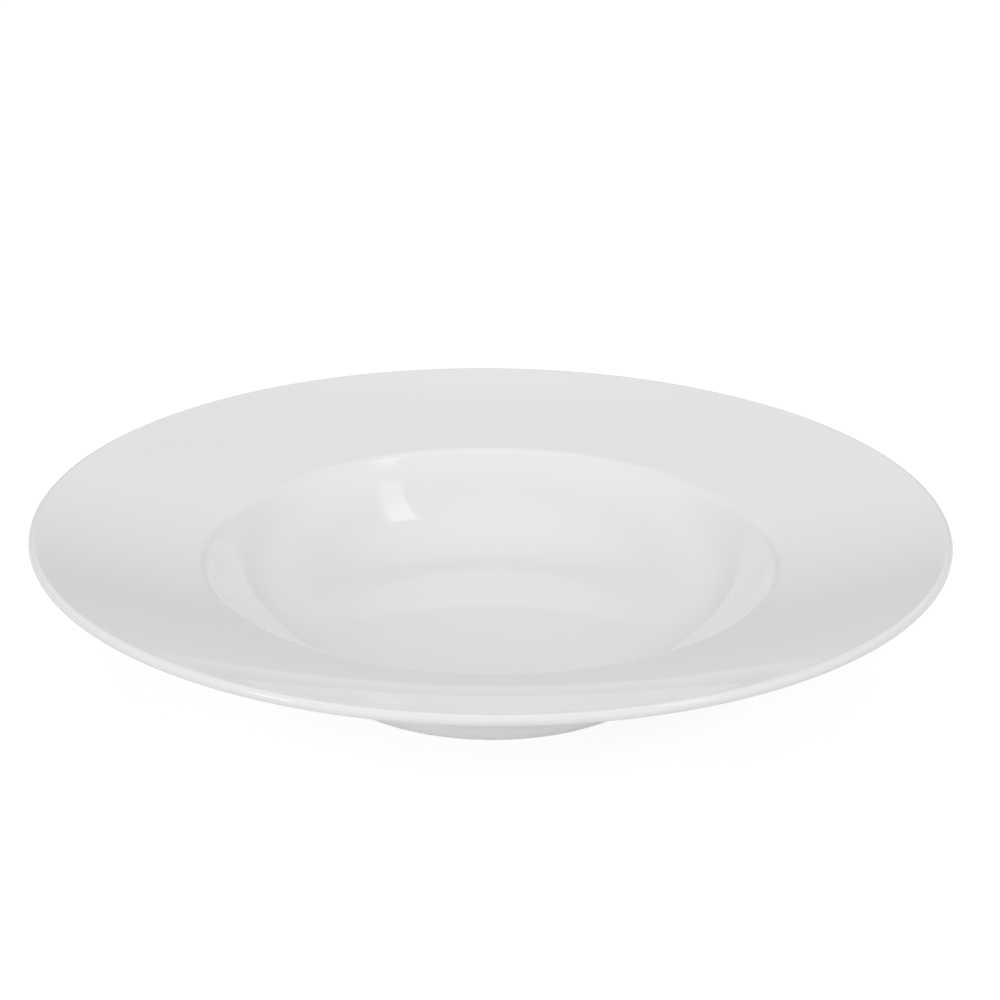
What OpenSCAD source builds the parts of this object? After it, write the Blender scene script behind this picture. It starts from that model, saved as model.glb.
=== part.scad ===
// Wide-rimmed pasta bowl: one fired porcelain body under two skins of clear glaze.
// The lip, flange, well and foot are turned on one axis, as on a jiggered plate.
// Millimetres. The origin is on the table, under the middle of the bowl, +Z up.

/* [Rim] */
// Outside diameter over the glazed lip
rim_d = 300; // [270:1:340]
// Height of the rim's crest above the table
rim_h = 54; // [50:0.5:60]
// Thickness of the full-round lip, glaze included
lip_t = 3.5; // [3:0.1:4.4]
// Fall of the flange just inside the lip, in degrees
lip_slope = 18.5; // [15:0.5:20]
// Fall of the flange at the edge of the well, in degrees: it is hollow between the two
inner_slope = 9.5; // [7:0.5:12]
// Angle between the flange's two faces, in degrees: it thickens towards the well
flange_wedge = 1; // [0.4:0.1:2]

/* [Well] */
// Diameter of the ring about which the well's edge is rounded
well_d = 194; // [186:1:204]
// Rounding of the well's edge
edge_round = 5; // [3:0.5:8]
// Steepness of the well's wall, in degrees from level
wall_slope = 60; // [54:1:64]
// Radius of the curve between the wall and the floor
floor_round = 46; // [36:1:48]
// Height of the well's floor above the table
floor_h = 9; // [8:0.1:10]
// Thickness of the wall and floor of the well
well_t = 3.8; // [3:0.1:4.6]
// Rounding under the flange, where it meets the wall
root_round = 9; // [5:0.5:12]

/* [Foot] */
// Diameter of the foot ring at the table
foot_d = 118.6; // [112:0.2:124]
// Width of the foot ring at the table, its rounded edges included
foot_w = 4.4; // [3:0.1:6]
// Lean of the foot's outer face, in degrees from upright
foot_lean = 6; // [0:1:12]
// Lean of the foot's inner face, in degrees from upright
foot_inner_lean = 25; // [10:1:35]
// Rounding of the foot's two lower edges
foot_round = 0.9; // [0.6:0.1:1.2]
// Rounding where the foot grows out of the bowl, outside
heel_round = 1.2; // [0.6:0.1:2.5]
// Rounding where the foot meets the base, inside
recess_round = 2.5; // [1:0.1:4]

/* [Glaze] */
// Thickness of the glaze
glaze_t = 0.3; // [0.2:0.05:0.45]
// Height of the band along the foot that is wiped bare of glaze
bare_h = 1; // [0.7:0.1:1.4]

/* [Hidden] */

// Flat steps along each arc of the section, and round the turned surfaces
arc_steps = 16;
$fn = 180;
// Points of the section that lie closer than this are one point
same_point = 0.001;

// A unit direction, from its angle in the section plane
function way(angle) = [cos(angle), sin(angle)];

// The point where two faces meet, each given by its normal's angle and its distance from the origin
function meet(angle_1, reach_1, angle_2, reach_2) =
    let (
        n = way(angle_1),
        m = way(angle_2)
    )
    [reach_1 * m.y - reach_2 * n.y, reach_2 * n.x - reach_1 * m.x] / (n.x * m.y - n.y * m.x);

// The centre of a rounding between two faces: its radius is positive on an outer edge, negative in a corner
function round_centre(face_1, face_2, radius) =
    meet(face_1[0], face_1[1] - radius, face_2[0], face_2[1] - radius);

// The centre of a hollow that touches a round surface from outside, and a face below it
function hollow_centre(centre, surface_r, face, radius) =
    let (
        out = face[1] + radius - centre * way(face[0]),
        down = sqrt(pow(surface_r + radius, 2) - pow(out, 2))
    )
    centre + out * way(face[0]) + down * way(face[0] - 90);

// The direction from one point of the section to another, as an angle
function aim(start, end) = atan2(end.y - start.y, end.x - start.x);

// Lip
rim_r = rim_d / 2;
lip_r = lip_t / 2;
lip_centre = [rim_r - lip_r, rim_h - lip_r];

// Upper face of the flange: a shallow hollow that runs from the edge of the well into the lip
lip_angle = 90 + lip_slope;
inner_angle = 90 + inner_slope;
edge_r = well_d / 2;
flange_in_r = edge_r + edge_round * cos(inner_angle);
flange_out_r = lip_centre.x + lip_r * cos(lip_angle);
flange_round = (flange_out_r - flange_in_r) / (cos(inner_angle) - cos(lip_angle));
flange_centre = lip_centre + (lip_r + flange_round) * way(lip_angle);
edge_centre = flange_centre - (flange_round + edge_round) * way(inner_angle);

// Faces of the well, as normal angle and distance
wall_angle = 90 + wall_slope;
wall_face = [wall_angle, edge_centre * way(wall_angle) + edge_round];
floor_face = [90, floor_h];
outer_wall_face = [wall_angle - 180, well_t - wall_face[1]];

// Underside of the flange: it turns away from the upper face towards the well, down to a hollow under its root
under_angle = lip_angle - 180 + flange_wedge;
under_round = flange_round + lip_t;
under_centre = lip_centre - (under_round - lip_r) * way(under_angle);
root_centre = hollow_centre(under_centre, under_round, outer_wall_face, root_round);
root_angle = aim(under_centre, root_centre);

// The floor's curve stays within its wall, below the rounded edge and the hollow under the flange
wall_up = way(wall_slope);
wall_foot = meet(floor_face[0], floor_face[1], wall_face[0], wall_face[1]);
wall_run = min(edge_centre * wall_up, root_centre * wall_up) - wall_foot * wall_up;
floor_curve = min(floor_round, wall_run / tan(wall_slope / 2));
floor_centre = round_centre(floor_face, wall_face, -floor_curve);

// Foot, drawn as if it were dipped in glaze all over
foot_r = foot_d / 2;
foot_angle = -foot_lean;
foot_face = [foot_angle, [foot_r, 0] * way(foot_angle)];
bearing_face = [-90, glaze_t];
foot_inner_angle = -180 + foot_inner_lean;
foot_inner_face = [foot_inner_angle, [foot_r - foot_w, 0] * way(foot_inner_angle)];
recess_h = floor_h - well_t;
recess_face = [-90, -recess_h];
foot_outer_centre = round_centre(foot_face, bearing_face, foot_round);
foot_inner_centre = round_centre(bearing_face, foot_inner_face, foot_round);
recess_centre = round_centre(foot_inner_face, recess_face, -recess_round);

// The foot's outer face meets the curved heel of the bowl in a small hollow, or the flat base within the heel
heel_r = floor_curve + well_t;
curved_heel_centre = hollow_centre(floor_centre, heel_r, foot_face, heel_round);
flat_heel_centre = round_centre(recess_face, foot_face, -heel_round);
heel_centre = curved_heel_centre.x > floor_centre.x ? curved_heel_centre : flat_heel_centre;
heel_angle = max(aim(floor_centre, curved_heel_centre), -90);

// The section as a chain of arcs from the floor over the lip to the base: [centre, radius, first and last
// normal angle], with the radius negative in a hollow. Straight faces join arcs that don't touch.
section_arcs = [
    [floor_centre, -floor_curve, 90, wall_angle],
    [edge_centre, edge_round, wall_angle, inner_angle],
    [flange_centre, -flange_round, inner_angle, lip_angle],
    [lip_centre, lip_r, lip_angle, under_angle],
    [under_centre, under_round, under_angle, root_angle],
    [root_centre, -root_round, root_angle, outer_wall_face[0]],
    [floor_centre, heel_r, outer_wall_face[0], heel_angle],
    [heel_centre, -heel_round, heel_angle, foot_angle],
    [foot_outer_centre, foot_round, foot_angle, -90],
    [foot_inner_centre, foot_round, -90, foot_inner_angle],
    [recess_centre, -recess_round, foot_inner_angle, -90],
];

// The points of one arc, set back by a depth under the finished surface
function arc_points(arc, depth) = [
    for (step = [0:arc_steps])
        arc[0] + (arc[1] - depth) * way(arc[2] + (arc[3] - arc[2]) * step / arc_steps)
];

// A chain of points without those that repeat the one before, as where two arcs touch
function without_repeats(points) = [
    for (i = [0:len(points) - 1])
        if (i == 0 || norm(points[i] - points[i - 1]) > same_point) points[i]
];

// The closed half section, set back by a depth under the finished surface
function half_section(depth) = without_repeats(concat(
    [[0, floor_h - depth]],
    [for (arc = section_arcs) each arc_points(arc, depth)],
    [[0, recess_h + depth]]
));

// Between the glaze on the upper side and the glaze under the base
foot_middle_r = foot_r - foot_w / 2;
base_middle_h = floor_h - well_t / 2;

// The fired body: lip, flange, well and foot in one piece, bare only where the foot stands
module porcelain_body() {
    color("#e9e4da")
    rotate_extrude()
    polygon(half_section(glaze_t));
}

// The glaze between its outer surface and the fired body, cut off at the wiped band of the foot
module glaze_section() {
    difference() {
        polygon(half_section(0));
        polygon(half_section(glaze_t));
        translate([0, -glaze_t])
        square([rim_r, glaze_t + bare_h]);
    }
}

// The space inside the foot, up to the middle of the base
module base_space() {
    square([foot_middle_r, base_middle_h]);
}

// The glaze over the well, flange, lip and outside, down to the wiped band
module glaze_coat() {
    color("#f4f5f5")
    rotate_extrude()
    difference() {
        glaze_section();
        base_space();
    }
}

// The glaze under the base, inside the foot ring
module base_glaze() {
    color("#eceded")
    rotate_extrude()
    intersection() {
        glaze_section();
        base_space();
    }
}

porcelain_body();
glaze_coat();
base_glaze();
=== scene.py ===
"""A wide-rimmed porcelain pasta bowl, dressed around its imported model, with its studio and camera."""

import logging
import math
from dataclasses import dataclass
from enum import Enum

import bpy
from mathutils import Matrix, Vector


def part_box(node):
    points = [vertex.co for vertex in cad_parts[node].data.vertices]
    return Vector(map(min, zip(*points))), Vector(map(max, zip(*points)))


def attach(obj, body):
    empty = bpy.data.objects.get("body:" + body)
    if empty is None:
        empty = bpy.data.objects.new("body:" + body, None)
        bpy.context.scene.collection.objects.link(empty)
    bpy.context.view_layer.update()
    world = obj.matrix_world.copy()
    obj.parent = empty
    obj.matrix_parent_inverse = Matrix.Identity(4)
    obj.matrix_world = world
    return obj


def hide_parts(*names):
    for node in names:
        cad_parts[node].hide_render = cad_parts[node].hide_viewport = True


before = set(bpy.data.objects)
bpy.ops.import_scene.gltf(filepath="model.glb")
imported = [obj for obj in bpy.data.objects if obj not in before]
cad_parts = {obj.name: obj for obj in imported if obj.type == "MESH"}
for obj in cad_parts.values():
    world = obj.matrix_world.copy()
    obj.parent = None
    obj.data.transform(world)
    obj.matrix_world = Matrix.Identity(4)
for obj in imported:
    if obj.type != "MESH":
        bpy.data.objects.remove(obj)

LOG = logging.getLogger("pasta_bowl")
MM = 0.001
IMAGE_WIDTH = 1000

# The sockets of a mix node's two colours and their mix, by number: other sockets share their names
COLOUR_A, COLOUR_B, COLOUR_OUT = 6, 7, 2


class Node(Enum):
    """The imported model's nodes, each a separate solid of the real bowl."""

    BODY = "porcelain_body"
    COAT = "glaze_coat"
    BASE = "base_glaze"


class Slot(Enum):
    """Names for material slots of the pieces' finishes, which nothing here gives to the pieces."""

    BODY = "fired_porcelain"
    COAT = "clear_glaze"
    BASE = "base_clear_glaze"


def way(angle: float) -> Vector:
    """A unit direction in the section plane, from its angle in degrees."""
    return Vector((math.cos(math.radians(angle)), math.sin(math.radians(angle))))


def linear(code: str) -> tuple[float, float, float, float]:
    """Turns an sRGB colour into the linear values that shaders take.

    Args:
        code: The colour as six hex digits after a hash sign.

    Returns:
        Red, green, blue and an alpha of one.
    """
    channels = [int(code[i : i + 2], 16) / 255 for i in (1, 3, 5)]
    bright = [c / 12.92 if c <= 0.04045 else ((c + 0.055) / 1.055) ** 2.4 for c in channels]
    return (*bright, 1.0)


@dataclass(frozen=True)
class Arc:
    """One arc of the turned section.

    The radius is positive on an outer edge and negative in a hollow. The two angles are those of the
    surface's normal at its ends, in degrees.
    """

    centre: Vector
    radius: float
    first: float
    last: float

    def at(self, angle: float, depth: float) -> Vector:
        """The point whose normal has this angle, set back by a depth under the surface."""
        return self.centre + (self.radius - depth) * way(angle)


@dataclass(frozen=True)
class Face:
    """One straight face of the turned section, by its normal's angle and its distance from the origin."""

    angle: float
    reach: float

    def meets(self, other: "Face") -> Vector:
        """The point where this face and another would meet in a sharp corner.

        Args:
            other: The other face, which isn't parallel to this one.

        Returns:
            The corner, as distance from the axis and height.
        """
        n, m = way(self.angle), way(other.angle)
        across = n.x * m.y - n.y * m.x
        return Vector((self.reach * m.y - other.reach * n.y, other.reach * n.x - self.reach * m.x)) / across

    def inward(self, distance: float) -> "Face":
        """The same face, moved into the material by a distance."""
        return Face(self.angle, self.reach - distance)


@dataclass(frozen=True)
class BowlSection:
    """The half section that the whole bowl is turned from, in metres and degrees.

    The rim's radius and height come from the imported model. The other sizes are those of the same bowl: a
    lip, a hollow flange, a well with a rounded edge, and a foot ring.
    """

    # The arcs beyond which the glaze is wiped off, by their place in the chain: outside and inside the foot
    HEEL = 7
    RECESS = 10

    rim_r: float
    rim_h: float
    lip_t: float = 3.5 * MM
    lip_slope: float = 18.5
    inner_slope: float = 9.5
    flange_wedge: float = 1.0
    edge_r: float = 97 * MM
    edge_round: float = 5 * MM
    wall_slope: float = 60.0
    floor_round: float = 46 * MM
    floor_h: float = 9 * MM
    well_t: float = 3.8 * MM
    root_round: float = 9 * MM
    foot_r: float = 59.3 * MM
    foot_w: float = 4.4 * MM
    foot_lean: float = 6.0
    foot_inner_lean: float = 25.0
    foot_round: float = 0.9 * MM
    heel_round: float = 1.2 * MM
    recess_round: float = 2.5 * MM
    glaze_t: float = 0.3 * MM
    bare_h: float = 1 * MM

    @staticmethod
    def rounding(face_1: Face, face_2: Face, radius: float) -> Vector:
        """The centre of a rounding between two faces."""
        return face_1.inward(radius).meets(face_2.inward(radius))

    @staticmethod
    def hollow(centre: Vector, surface_r: float, face: Face, radius: float) -> tuple[Vector, float]:
        """A hollow that touches a round surface from outside, and a face below it.

        Args:
            centre: The centre of the round surface.
            surface_r: Its radius.
            face: The straight face.
            radius: The hollow's own radius.

        Returns:
            The hollow's centre, and the normal's angle where it leaves the round surface.
        """
        out = face.reach + radius - centre.dot(way(face.angle))
        down = math.sqrt((surface_r + radius) ** 2 - out**2)
        middle = centre + out * way(face.angle) + down * way(face.angle - 90)
        return middle, math.degrees(math.atan2(middle.y - centre.y, middle.x - centre.x))

    @property
    def recess_h(self) -> float:
        """Height of the base inside the foot ring."""
        return self.floor_h - self.well_t

    def arcs(self) -> list[Arc]:
        """The chain of arcs from the floor of the well over the lip to the base inside the foot.

        Returns:
            Eleven arcs. Straight faces join those that don't touch.
        """
        lip_r = self.lip_t / 2
        lip = Vector((self.rim_r - lip_r, self.rim_h - lip_r))
        lip_angle, inner_angle = 90 + self.lip_slope, 90 + self.inner_slope
        flange_in = self.edge_r + self.edge_round * way(inner_angle).x
        flange_out = lip.x + lip_r * way(lip_angle).x
        flange_round = (flange_out - flange_in) / (way(inner_angle).x - way(lip_angle).x)
        flange = lip + (lip_r + flange_round) * way(lip_angle)
        edge = flange - (flange_round + self.edge_round) * way(inner_angle)

        wall = Face(90 + self.wall_slope, edge.dot(way(90 + self.wall_slope)) + self.edge_round)
        outer_wall = Face(wall.angle - 180, self.well_t - wall.reach)
        floor = self.rounding(Face(90, self.floor_h), wall, -self.floor_round)

        under_angle = lip_angle - 180 + self.flange_wedge
        under_round = flange_round + self.lip_t
        under = lip - (under_round - lip_r) * way(under_angle)
        root, root_angle = self.hollow(under, under_round, outer_wall, self.root_round)

        foot_angle, foot_inner_angle = -self.foot_lean, -180 + self.foot_inner_lean
        foot_face = Face(foot_angle, Vector((self.foot_r, 0)).dot(way(foot_angle)))
        foot_inner = Face(foot_inner_angle, Vector((self.foot_r - self.foot_w, 0)).dot(way(foot_inner_angle)))
        bearing = Face(-90, self.glaze_t)
        heel_r = self.floor_round + self.well_t
        heel, heel_angle = self.hollow(floor, heel_r, foot_face, self.heel_round)
        recess = self.rounding(foot_inner, Face(-90, -self.recess_h), -self.recess_round)
        return [
            Arc(floor, -self.floor_round, 90, wall.angle),
            Arc(edge, self.edge_round, wall.angle, inner_angle),
            Arc(flange, -flange_round, inner_angle, lip_angle),
            Arc(lip, lip_r, lip_angle, under_angle),
            Arc(under, under_round, under_angle, root_angle),
            Arc(root, -self.root_round, root_angle, outer_wall.angle),
            Arc(floor, heel_r, outer_wall.angle, heel_angle),
            Arc(heel, -self.heel_round, heel_angle, foot_angle),
            Arc(self.rounding(foot_face, bearing, self.foot_round), self.foot_round, foot_angle, -90),
            Arc(self.rounding(bearing, foot_inner, self.foot_round), self.foot_round, -90, foot_inner_angle),
            Arc(recess, -self.recess_round, foot_inner_angle, -90),
        ]


class Turning:
    """A section drawn from one vertex by extruding and spinning it, then turned round the bowl's axis."""

    # Steps round the axis, longest step, largest turn in degrees, and the gap under which two points are one
    STEPS_ROUND = 384
    LONGEST_STEP = 4.2 * MM
    LARGEST_TURN = 6.0
    SAME_POINT = 0.1 * MM * MM

    def __init__(self, name: str, start: Vector) -> None:
        """Starts the section.

        Args:
            name: The piece's name.
            start: The section's first point, as distance from the axis and height.
        """
        bpy.ops.object.select_all(action="DESELECT")
        bpy.ops.mesh.primitive_plane_add(size=MM, location=(start.x, 0, start.y))
        bpy.ops.object.transform_apply(location=True, rotation=False, scale=False)
        self.piece = bpy.context.object
        self.piece.name = self.piece.data.name = name
        self.end = start.copy()
        bpy.ops.object.mode_set(mode="EDIT")
        bpy.ops.mesh.merge(type="CENTER")

    def line_to(self, target: Vector) -> None:
        """Extrudes the last vertex along a straight face, in steps that the later waves can bend.

        Args:
            target: Where the face ends.
        """
        run = target - self.end
        if run.length < self.SAME_POINT:
            return
        steps = math.ceil(run.length / self.LONGEST_STEP)
        for _ in range(steps):
            move = {"value": (run.x / steps, 0, run.y / steps)}
            bpy.ops.mesh.extrude_region_move(TRANSFORM_OT_translate=move)
        self.end = target.copy()

    def sweep(self, arc: Arc, depth: float = 0.0) -> None:
        """Spins the last vertex along an arc, after a straight run to where the arc starts.

        Args:
            arc: The arc of the finished surface.
            depth: How far under that surface the section runs.
        """
        self.line_to(arc.at(arc.first, depth))
        turn = arc.last - arc.first
        length = math.radians(abs(turn)) * abs(arc.radius - depth)
        steps = max(math.ceil(length / self.LONGEST_STEP), math.ceil(abs(turn) / self.LARGEST_TURN))
        centre = (arc.centre.x, 0, arc.centre.y)
        bpy.ops.mesh.spin(steps=steps, angle=math.radians(turn), center=centre, axis=(0, 1, 0))
        self.end = arc.at(arc.last, depth)

    def turn(self) -> bpy.types.Object:
        """Spins the section once round the axis and closes its seam and poles.

        Returns:
            The turned piece, smooth, with its faces pointing outwards.
        """
        bpy.ops.mesh.select_all(action="SELECT")
        bpy.ops.mesh.spin(steps=self.STEPS_ROUND, angle=math.tau, center=(0, 0, 0), axis=(0, 0, 1))
        bpy.ops.mesh.select_all(action="SELECT")
        bpy.ops.mesh.remove_doubles(threshold=self.SAME_POINT)
        bpy.ops.mesh.normals_make_consistent(inside=False)
        bpy.ops.object.mode_set(mode="OBJECT")
        bpy.ops.object.shade_smooth()
        return self.piece


def add_node(
    tree: bpy.types.NodeTree,
    kind: str,
    settings: dict[str | int, object] | None = None,
    links: dict[str | int, bpy.types.NodeSocket] | None = None,
) -> bpy.types.Node:
    """Adds one node with its settings and its incoming links.

    Args:
        tree: The node tree of a material or the world.
        kind: The node's type name.
        settings: Values by the name of a property, or by the name or number of an input.
        links: The sockets that feed the node, by the name or number of its input.

    Returns:
        The new node.
    """
    node = tree.nodes.new(kind)
    for key, value in (settings or {}).items():
        if isinstance(key, str) and hasattr(node, key):
            setattr(node, key, value)
        else:
            node.inputs[key].default_value = value
    for key, source in (links or {}).items():
        tree.links.new(source, node.inputs[key])
    return node


def new_tree(name: str) -> tuple[bpy.types.Material, bpy.types.NodeTree]:
    """Starts a material, with an empty node tree.

    Args:
        name: The material's name.

    Returns:
        The material and its node tree.
    """
    material = bpy.data.materials.new(name)
    material.use_nodes = True
    material.node_tree.nodes.clear()
    return material, material.node_tree


@dataclass(frozen=True)
class GlazedPorcelain:
    """Clear feldspar glaze, melted to glass on a white porcelain body in the kiln.

    It gives the eye a clean white with sharp reflections. The melt flowed before it set, so reflections
    waver over a few centimetres, and where it pooled in hollows the white is a trace cooler. Light that skims
    along the wall of the well is mirrored over and over: after two mirrorings the glaze counts as plain
    white, so that no ray dies in it.
    """

    name: str
    body_white: str = "#fcfcfc"
    pooled_white: str = "#fbfbfc"
    roughness: float = 0.018
    ior: float = 1.52
    peel_width: float = 2.2 * MM
    peel_depth: float = 0.0009 * MM
    cloud_width: float = 70 * MM
    mirrorings: float = 1.5

    def make(self, low: float, high: float) -> bpy.types.Material:
        """Builds the material.

        Args:
            low: The height in the bowl below which the glaze counts as pooled.
            high: The height above which it lies thin.

        Returns:
            The finished material.
        """
        material, tree = new_tree(self.name)
        place = add_node(tree, "ShaderNodeTexCoord").outputs["Object"]
        height = add_node(tree, "ShaderNodeSeparateXYZ", links={0: place}).outputs["Z"]
        pooled = add_node(
            tree,
            "ShaderNodeMapRange",
            {
                "interpolation_type": "SMOOTHSTEP",
                "From Min": low,
                "From Max": high,
                "To Min": 1.0,
                "To Max": 0.0,
            },
            {"Value": height},
        )
        cloud = add_node(
            tree,
            "ShaderNodeTexNoise",
            {"Scale": 1 / self.cloud_width, "Detail": 2.0},
            {"Vector": place},
        )
        share = add_node(
            tree, "ShaderNodeMath", {"operation": "MULTIPLY"}, {0: pooled.outputs[0], 1: cloud.outputs["Fac"]}
        )
        white = add_node(
            tree,
            "ShaderNodeMix",
            {
                "data_type": "RGBA",
                COLOUR_A: linear(self.body_white),
                COLOUR_B: linear(self.pooled_white),
            },
            {0: share.outputs[0]},
        ).outputs[COLOUR_OUT]
        peel = add_node(
            tree,
            "ShaderNodeTexNoise",
            {"Scale": 1 / self.peel_width, "Detail": 1.0},
            {"Vector": place},
        )
        bump = add_node(
            tree,
            "ShaderNodeBump",
            {"Strength": 1.0, "Distance": self.peel_depth},
            {"Height": peel.outputs["Fac"]},
        )
        shader = add_node(
            tree,
            "ShaderNodeBsdfPrincipled",
            {"Roughness": self.roughness, "IOR": self.ior},
            {"Base Color": white, "Normal": bump.outputs[0]},
        )
        mirrored = add_node(tree, "ShaderNodeLightPath").outputs["Glossy Depth"]
        often = add_node(
            tree, "ShaderNodeMath", {"operation": "GREATER_THAN", 1: self.mirrorings}, {0: mirrored}
        )
        plain = add_node(tree, "ShaderNodeBsdfDiffuse", links={"Color": white})
        surface = add_node(
            tree,
            "ShaderNodeMixShader",
            links={0: often.outputs[0], 1: shader.outputs[0], 2: plain.outputs[0]},
        )
        add_node(tree, "ShaderNodeOutputMaterial", links={"Surface": surface.outputs[0]})
        return material


@dataclass(frozen=True)
class BarePorcelain:
    """Fired porcelain without glaze, wiped before firing and ground smooth after it.

    It gives the eye a dry, matt, faintly warm white, with a fine grit, and grey rubs where the ring stood on
    shelves.
    """

    name: str
    clay: str = "#f6f4ef"
    rub: str = "#c9c6bf"
    roughness: float = 0.62
    ior: float = 1.5
    grit_width: float = 0.35 * MM
    grit_depth: float = 0.02 * MM
    rub_width: float = 9 * MM
    rub_reach: float = 0.5 * MM
    rub_strength: float = 0.7

    def make(self) -> bpy.types.Material:
        """Builds the material.

        Returns:
            The finished material.
        """
        material, tree = new_tree(self.name)
        place = add_node(tree, "ShaderNodeTexCoord").outputs["Object"]
        height = add_node(tree, "ShaderNodeSeparateXYZ", links={0: place}).outputs["Z"]
        worn = add_node(
            tree,
            "ShaderNodeMapRange",
            {"From Min": 0.0, "From Max": self.rub_reach, "To Min": self.rub_strength, "To Max": 0.0},
            {"Value": height},
        )
        patch = add_node(
            tree,
            "ShaderNodeTexNoise",
            {"Scale": 1 / self.rub_width, "Detail": 4.0},
            {"Vector": place},
        )
        share = add_node(
            tree, "ShaderNodeMath", {"operation": "MULTIPLY"}, {0: worn.outputs[0], 1: patch.outputs["Fac"]}
        )
        colour = add_node(
            tree,
            "ShaderNodeMix",
            {"data_type": "RGBA", COLOUR_A: linear(self.clay), COLOUR_B: linear(self.rub)},
            {0: share.outputs[0]},
        ).outputs[COLOUR_OUT]
        grit = add_node(
            tree,
            "ShaderNodeTexNoise",
            {"Scale": 1 / self.grit_width, "Detail": 2.0},
            {"Vector": place},
        )
        bump = add_node(
            tree,
            "ShaderNodeBump",
            {"Strength": 1.0, "Distance": self.grit_depth},
            {"Height": grit.outputs["Fac"]},
        )
        shader = add_node(
            tree,
            "ShaderNodeBsdfPrincipled",
            {"Roughness": self.roughness, "IOR": self.ior},
            {"Base Color": colour, "Normal": bump.outputs[0]},
        )
        add_node(tree, "ShaderNodeOutputMaterial", links={"Surface": shader.outputs[0]})
        return material


@dataclass
class GlazeSkin:
    """A skin of glaze over one side of the bowl, rounded off where it was wiped away."""

    section: BowlSection
    wave_width: float = 26 * MM
    wave_depth: float = 0.05 * MM
    wave_detail: int = 1
    wiped_round: float = 0.12 * MM
    wiped_steps: int = 2
    wiped_angle: float = 60.0

    def wipe_point(self, arc: Arc) -> Vector:
        """The point on a straight face of the foot, beyond an arc's end, where the wiped band begins."""
        face = Face(arc.last, arc.at(arc.last, 0.0).dot(way(arc.last)))
        return face.meets(Face(90, self.section.bare_h))

    def thicken(self, piece: bpy.types.Object, waves: bool) -> None:
        """Gives the turned surface its waves, its thickness and its rounded ends.

        Args:
            piece: The open surface of the finished glaze.
            waves: Whether the melt's waves are pressed into it.
        """
        if waves:
            flow = bpy.data.textures.new(f"{piece.name}_flow", "CLOUDS")
            flow.noise_scale = self.wave_width
            flow.noise_depth = self.wave_detail
            wave = piece.modifiers.new("waves", "DISPLACE")
            wave.texture = flow
            wave.texture_coords = "LOCAL"
            wave.strength = self.wave_depth
            wave.mid_level = 1.0
            bpy.ops.object.modifier_apply(modifier=wave.name)
        wall = piece.modifiers.new("thickness", "SOLIDIFY")
        wall.thickness = self.section.glaze_t
        wall.offset = -1.0
        bpy.ops.object.modifier_apply(modifier=wall.name)
        edge = piece.modifiers.new("wiped_edge", "BEVEL")
        edge.width = self.wiped_round
        edge.segments = self.wiped_steps
        edge.angle_limit = math.radians(self.wiped_angle)
        bpy.ops.object.modifier_apply(modifier=edge.name)


@dataclass
class GlazeCoat(GlazeSkin):
    """The glaze over the well, the flange, the lip and the outside, down to the wiped band of the foot."""

    def build(self) -> bpy.types.Object:
        """Turns the coat and dresses it.

        Returns:
            The finished piece.
        """
        section = self.section
        arcs = section.arcs()[: section.HEEL + 1]
        coat = Turning("glazed_coat", Vector((0, section.floor_h)))
        for arc in arcs:
            coat.sweep(arc)
        coat.line_to(self.wipe_point(arcs[section.HEEL]))
        piece = coat.turn()
        self.thicken(piece, waves=True)
        finish = GlazedPorcelain("feldspar_glaze_on_white_porcelain_fired")
        piece.data.materials.append(finish.make(section.floor_h, section.rim_h / 2))
        return piece


@dataclass
class BaseGlaze(GlazeSkin):
    """The glaze under the base, inside the foot ring."""

    roughness: float = 0.06
    pooled_below: float = -4.4 * MM

    def build(self) -> bpy.types.Object:
        """Turns the base glaze and dresses it.

        Returns:
            The finished piece.
        """
        section = self.section
        recess = section.arcs()[section.RECESS]
        corner = Arc(recess.centre, recess.radius, recess.last, recess.first)
        base = Turning("glazed_base", Vector((0, section.recess_h)))
        base.sweep(corner)
        base.line_to(self.wipe_point(corner))
        piece = base.turn()
        self.thicken(piece, waves=False)
        finish = GlazedPorcelain("feldspar_glaze_on_white_base_fired", roughness=self.roughness)
        piece.data.materials.append(finish.make(self.pooled_below, section.recess_h))
        return piece


@dataclass
class FiredBody:
    """The fired clay body: lip, flange, well and foot from one piece of clay, bare only where it stands."""

    section: BowlSection

    def build(self) -> bpy.types.Object:
        """Turns the body and dresses it.

        Returns:
            The finished piece.
        """
        section = self.section
        depth = section.glaze_t
        body = Turning("bare_body", Vector((0, section.floor_h - depth)))
        for arc in section.arcs():
            body.sweep(arc, depth)
        body.line_to(Vector((0, section.recess_h + depth)))
        piece = body.turn()
        piece.data.materials.append(BarePorcelain("bare_porcelain_wiped_and_ground").make())
        return piece


@dataclass
class PastaBowl:
    """The whole bowl: a fired body between two skins of glaze."""

    section: BowlSection

    def build(self) -> dict[Node, bpy.types.Object]:
        """Builds the pieces and hangs them on the frame.

        Returns:
            The finished pieces, by the node that each stands for.
        """
        made = {
            Node.BODY: FiredBody(self.section).build(),
            Node.COAT: GlazeCoat(self.section).build(),
            Node.BASE: BaseGlaze(self.section).build(),
        }
        for node, piece in made.items():
            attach(piece, "root")
            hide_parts(node.value)
            LOG.info("%s: %d faces", piece.name, len(piece.data.polygons))
        return made


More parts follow.
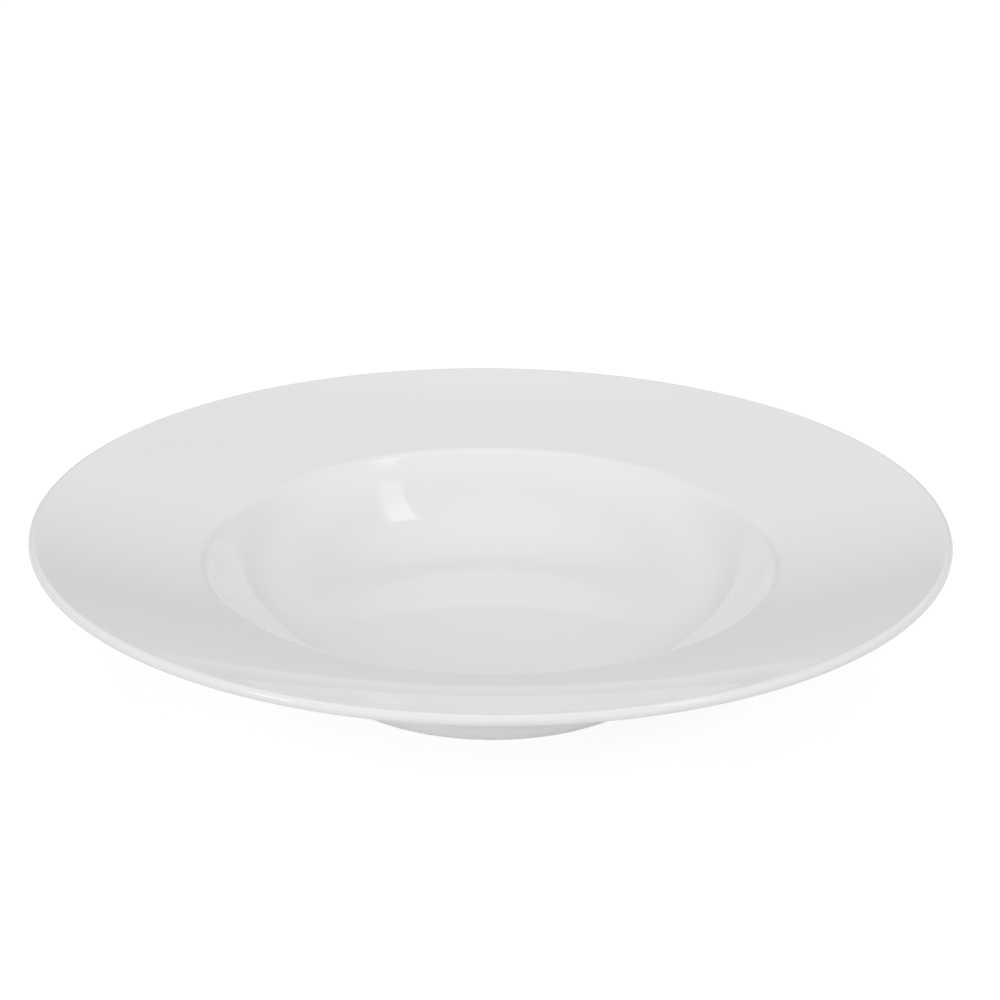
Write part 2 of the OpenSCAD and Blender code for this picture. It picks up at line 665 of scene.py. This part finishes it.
@dataclass
class Softbox:
    """A rectangular studio light, with a face that is even or fades towards its lower end and one side.

    Angles are in degrees. The shares are what is left of the brightness at the lower end and at that side. It
    is full again from `full_from` of the height upwards, and `side_reach` of the width in from that side.
    """

    name: str
    azimuth: float
    elevation: float
    distance: float
    width: float
    height: float
    power: float
    lean: float = 0.0
    low_share: float = 1.0
    side_share: float = 1.0
    full_from: float = 0.8
    side_reach: float = 0.45

    def grade(self, lamp: bpy.types.Light) -> None:
        """Fades the light's face towards its lower end and one side, as the cloth before a lamp does.

        Args:
            lamp: The light whose face is graded.
        """
        lamp.use_nodes = True
        tree = lamp.node_tree
        tree.nodes.clear()
        spot = add_node(tree, "ShaderNodeNewGeometry").outputs["Parametric"]
        parts = add_node(tree, "ShaderNodeSeparateXYZ", links={0: spot}).outputs
        along = add_node(
            tree,
            "ShaderNodeMapRange",
            {"interpolation_type": "SMOOTHSTEP", "From Max": self.full_from, "To Min": self.low_share},
            {"Value": parts["Y"]},
        )
        beside = add_node(
            tree,
            "ShaderNodeMapRange",
            {
                "interpolation_type": "SMOOTHSTEP",
                "From Min": 1.0,
                "From Max": 1.0 - self.side_reach,
                "To Min": self.side_share,
            },
            {"Value": parts["X"]},
        )
        strength = add_node(
            tree, "ShaderNodeMath", {"operation": "MULTIPLY"}, {0: along.outputs[0], 1: beside.outputs[0]}
        )
        face = add_node(tree, "ShaderNodeEmission", links={"Strength": strength.outputs[0]})
        add_node(tree, "ShaderNodeOutputLight", links={"Surface": face.outputs[0]})

    def place(self, target: Vector) -> None:
        """Stands the light round the target, azimuth counted from the camera's side to the right.

        Args:
            target: The point that the light faces.
        """
        lamp = bpy.data.lights.new(self.name, "AREA")
        lamp.shape = "RECTANGLE"
        lamp.size = self.width
        lamp.size_y = self.height
        lamp.energy = self.power
        self.grade(lamp)
        stand = bpy.data.objects.new(self.name, lamp)
        bpy.context.scene.collection.objects.link(stand)
        turn, lift = math.radians(self.azimuth), math.radians(self.elevation)
        aim = Vector((math.sin(turn) * math.cos(lift), -math.cos(turn) * math.cos(lift), math.sin(lift)))
        stand.location = target + self.distance * aim
        stand.rotation_euler = aim.to_track_quat("Z", "Y").to_euler()
        stand.rotation_euler.rotate_axis("Z", math.radians(-self.lean))


@dataclass
class Studio:
    """A pale card on a table, in a soft room whose brightness changes with height, in front and behind."""

    aim_h: float = 40 * MM
    table_size: float = 5.0
    card_white: str = "#fafafa"
    table_white: str = "#c8c8c8"
    card_reach: tuple[float, float] = (0.15, 0.26)
    shown_white: str = "#a8a8a8"
    glow: float = 0.77
    # Painted shade: the table's glow as the glaze mirrors it, dimmer, standing for its shadow under the bowl
    shaded_mirrored_glow: float = 0.48
    back_lights: tuple[float, ...] = (0.66, 0.305, 0.795, 0.36, 1.18)
    front_lights: tuple[float, ...] = (1.2, 1.34, 0.92, 0.26, 1.08)
    lifts: tuple[float, ...] = (0.0, 0.25, 0.5, 0.75, 1.0)
    front_from: float = 0.3
    front_to: float = -0.7
    seen_white: str = "#ffffff"

    def table(self) -> None:
        """Lays the table, white to the eye with the bowl's soft shadow on it, and pale in reflections, where
        its glow is dimmer as painted shade for its shadow under the bowl.
        """
        bpy.ops.mesh.primitive_plane_add(size=self.table_size)
        top = bpy.context.object
        top.name = "table"
        material, tree = new_tree("matt_white_card_on_table")
        path = add_node(tree, "ShaderNodeLightPath").outputs
        seen = add_node(
            tree,
            "ShaderNodeMath",
            {"operation": "MAXIMUM"},
            {0: path["Is Camera Ray"], 1: path["Is Glossy Ray"]},
        )
        shown = add_node(
            tree,
            "ShaderNodeMath",
            {"operation": "MAXIMUM"},
            {0: seen.outputs[0], 1: path["Is Transmission Ray"]},
        )
        place = add_node(tree, "ShaderNodeTexCoord").outputs["Object"]
        reach = add_node(tree, "ShaderNodeVectorMath", {"operation": "LENGTH"}, {0: place}).outputs["Value"]
        beyond = add_node(
            tree,
            "ShaderNodeMapRange",
            {
                "interpolation_type": "SMOOTHSTEP",
                "From Min": self.card_reach[0],
                "From Max": self.card_reach[1],
            },
            {"Value": reach},
        )
        white = add_node(
            tree,
            "ShaderNodeMix",
            {"data_type": "RGBA", COLOUR_A: linear(self.card_white), COLOUR_B: linear(self.table_white)},
            {0: beyond.outputs[0]},
        ).outputs[COLOUR_OUT]
        plain = add_node(tree, "ShaderNodeBsdfDiffuse", links={"Color": white})
        dim = add_node(tree, "ShaderNodeBsdfDiffuse", {"Color": linear(self.shown_white)})
        # Painted shade: reflections see the table's glow dimmed, in place of its shadow under the bowl
        strength = add_node(
            tree,
            "ShaderNodeMapRange",
            {"To Min": self.glow, "To Max": self.shaded_mirrored_glow},
            {"Value": path["Is Glossy Ray"]},
        )
        light = add_node(tree, "ShaderNodeEmission", links={"Strength": strength.outputs[0]})
        bright = add_node(tree, "ShaderNodeAddShader", links={0: dim.outputs[0], 1: light.outputs[0]})
        card = add_node(
            tree,
            "ShaderNodeMixShader",
            links={0: shown.outputs[0], 1: plain.outputs[0], 2: bright.outputs[0]},
        )
        add_node(tree, "ShaderNodeOutputMaterial", links={"Surface": card.outputs[0]})
        top.data.materials.append(material)

    def levels(
        self, tree: bpy.types.NodeTree, height: bpy.types.NodeSocket, lights: tuple[float, ...]
    ) -> bpy.types.NodeSocket:
        """The room's brightness by height, as a ramp.

        Args:
            tree: The world's node tree.
            height: The upward part of the direction, from 0 straight down to 1 straight up.
            lights: The brightness at each of the room's lifts.

        Returns:
            The ramp's colour socket.
        """
        ramp = add_node(tree, "ShaderNodeValToRGB", links={"Fac": height})
        spots = ramp.color_ramp.elements
        while len(spots) < len(lights):
            spots.new(1.0)
        for spot, lift, light in zip(spots, self.lifts, lights):
            spot.position = (lift + 1) / 2
            spot.color = (light, light, light, 1.0)
        return ramp.outputs["Color"]

    def room(self) -> None:
        """Lights the room softly from all round, with white where the camera looks straight into it."""
        world = bpy.data.worlds.new("soft_room")
        bpy.context.scene.world = world
        world.use_nodes = True
        tree = world.node_tree
        tree.nodes.clear()
        towards = add_node(tree, "ShaderNodeTexCoord").outputs["Generated"]
        parts = add_node(tree, "ShaderNodeSeparateXYZ", links={0: towards}).outputs
        height = add_node(tree, "ShaderNodeMapRange", {"From Min": -1.0}, {"Value": parts["Z"]}).outputs[0]
        front = add_node(
            tree,
            "ShaderNodeMapRange",
            {"interpolation_type": "SMOOTHSTEP", "From Min": self.front_from, "From Max": self.front_to},
            {"Value": parts["Y"]},
        )
        back_sky = self.levels(tree, height, self.back_lights)
        front_sky = self.levels(tree, height, self.front_lights)
        light = add_node(
            tree,
            "ShaderNodeMix",
            {"data_type": "RGBA"},
            {0: front.outputs[0], COLOUR_A: back_sky, COLOUR_B: front_sky},
        ).outputs[COLOUR_OUT]
        path = add_node(tree, "ShaderNodeLightPath").outputs
        straight = add_node(
            tree,
            "ShaderNodeMath",
            {"operation": "MAXIMUM"},
            {0: path["Is Camera Ray"], 1: path["Is Transmission Ray"]},
        )
        shown = add_node(
            tree,
            "ShaderNodeMix",
            {"data_type": "RGBA", COLOUR_B: linear(self.seen_white)},
            {0: straight.outputs[0], COLOUR_A: light},
        ).outputs[COLOUR_OUT]
        sky = add_node(tree, "ShaderNodeBackground", links={"Color": shown})
        add_node(tree, "ShaderNodeOutputWorld", links={"Surface": sky.outputs[0]})

    def build(self) -> None:
        """Sets up the table, the room and the softboxes."""
        self.table()
        self.room()
        right = Softbox(
            "strip_right",
            azimuth=63.0,
            elevation=52.1,
            distance=1.4,
            width=0.27,
            height=0.8,
            power=1.65,
            lean=28.5,
            low_share=0.42,
            side_share=0.1,
        )
        left = Softbox(
            "strip_left", azimuth=-50.0, elevation=22.0, distance=1.4, width=0.24, height=0.4, power=1.2
        )
        for light in (right, left):
            light.place(Vector((0, 0, self.aim_h)))


@dataclass
class PhotoCamera:
    """The camera of the photograph, as fitted to the lip, the well and the foot, with angles in degrees."""

    distance: float = 797 * MM
    elevation: float = 21.87
    pitch: float = 21.60
    yaw: float = 0.22
    roll: float = 0.56
    focal_px: float = 2421.0
    sensor: float = 36.0

    def place(self, rim_h: float) -> None:
        """Makes the camera and stands it in front of the bowl.

        Args:
            rim_h: The height of the rim, which the camera's distance is counted from.
        """
        lift, tilt = math.radians(self.elevation), math.radians(self.pitch)
        turn, lean = math.radians(self.yaw), math.radians(self.roll)
        stand = Vector((0, -self.distance * math.cos(lift), rim_h + self.distance * math.sin(lift)))
        ahead = Vector((math.sin(turn) * math.cos(tilt), math.cos(turn) * math.cos(tilt), -math.sin(tilt)))
        level = Vector((math.cos(turn), -math.sin(turn), 0))
        upright = level.cross(ahead)
        right = math.cos(lean) * level + math.sin(lean) * upright
        up = math.cos(lean) * upright - math.sin(lean) * level
        lens = bpy.data.cameras.new("photo_camera")
        lens.sensor_width = self.sensor
        lens.lens = self.focal_px * self.sensor / IMAGE_WIDTH
        camera = bpy.data.objects.new("photo_camera", lens)
        bpy.context.scene.collection.objects.link(camera)
        turned = Matrix((right, up, -ahead)).transposed()
        camera.matrix_world = Matrix.Translation(stand) @ turned.to_4x4()
        bpy.context.scene.camera = camera


def main() -> None:
    """Builds the bowl, the studio and the camera."""
    logging.basicConfig(level=logging.INFO, format="%(message)s")
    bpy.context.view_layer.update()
    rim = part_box(Node.COAT.value)[1]
    section = BowlSection(rim_r=rim.x, rim_h=rim.z)
    PastaBowl(section).build()
    Studio().build()
    PhotoCamera().place(rim.z)
    bpy.context.scene.view_settings.view_transform = "Standard"


if __name__ == "__main__":
    main()
